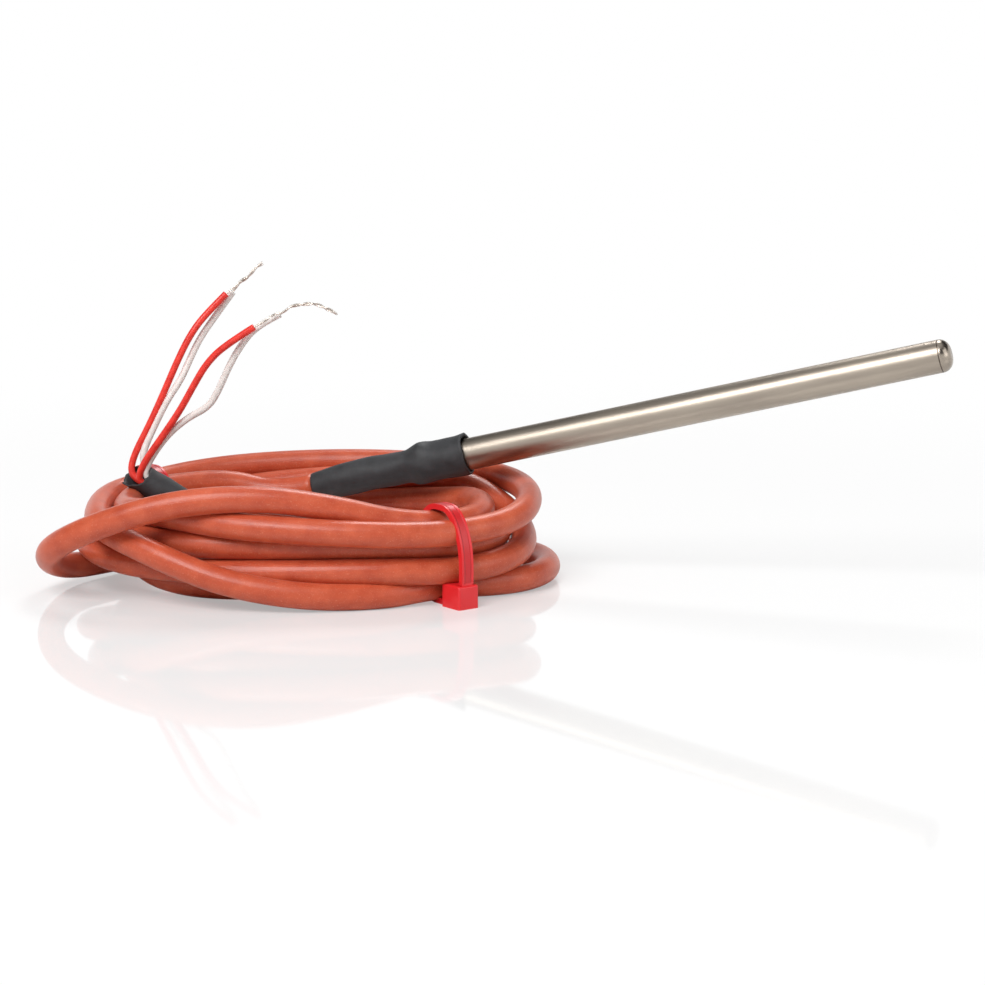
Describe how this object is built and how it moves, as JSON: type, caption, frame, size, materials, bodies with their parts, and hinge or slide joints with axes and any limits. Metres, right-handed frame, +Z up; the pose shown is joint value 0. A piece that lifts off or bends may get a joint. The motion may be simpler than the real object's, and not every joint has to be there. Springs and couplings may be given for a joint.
{
  "type": "temperature sensor",
  "caption": "Cable temperature probe: closed steel sheath in a black shrink sleeve, on a tied hank of orange silicone cable that ends in bare-ended red and white leads.",
  "frame": {"origin": "on the sheath's axis, where the sheath leaves the lip of the black sleeve", "axes": "+X along the hank towards the sheath's tip, +Y away from the viewer, +Z up; the sheath rises 13.8 degrees and swings 15.4 degrees towards -Y"},
  "size_m": [0.165, 0.0574, 0.0578],
  "materials": {
    "steel": "ground along its length, polished dome",
    "black_sleeve": "matte heat-shrink tubing",
    "silicone": "satin silicone rubber",
    "tie_red": "moulded nylon",
    "red_insulation": "glossy insulation",
    "white_insulation": "glossy insulation",
    "tinned_copper": "tinned strands",
    "ceramic": "unglazed",
    "seal": "cast resin"
  },
  "bodies": {
    "root": {"sheath": "steel", "probe_sleeve": "black_sleeve", "sensing_element": "ceramic", "element_wires": "tinned_copper", "splice_a": "tinned_copper", "splice_b": "tinned_copper", "splice_tube_a": "white_insulation", "splice_tube_b": "white_insulation", "red_core_a": "red_insulation", "white_core_a": "white_insulation", "red_core_b": "red_insulation", "white_core_b": "white_insulation", "filling": "ceramic", "rear_seal": "seal", "cable_in_sleeve": "silicone", "cable_lead_out": "silicone", "cable_hank": "silicone", "cable_loose_loop": "silicone", "cable_tail": "silicone", "end_sleeve": "black_sleeve", "tie_front": "tie_red", "tie_back": "tie_red", "red_lead_a": "red_insulation", "white_lead_a": "white_insulation", "red_lead_b": "red_insulation", "white_lead_b": "white_insulation", "bare_red_lead_a": "tinned_copper", "bare_white_lead_a": "tinned_copper", "bare_red_lead_b": "tinned_copper", "bare_white_lead_b": "tinned_copper"}
  },
  "joints": []
}
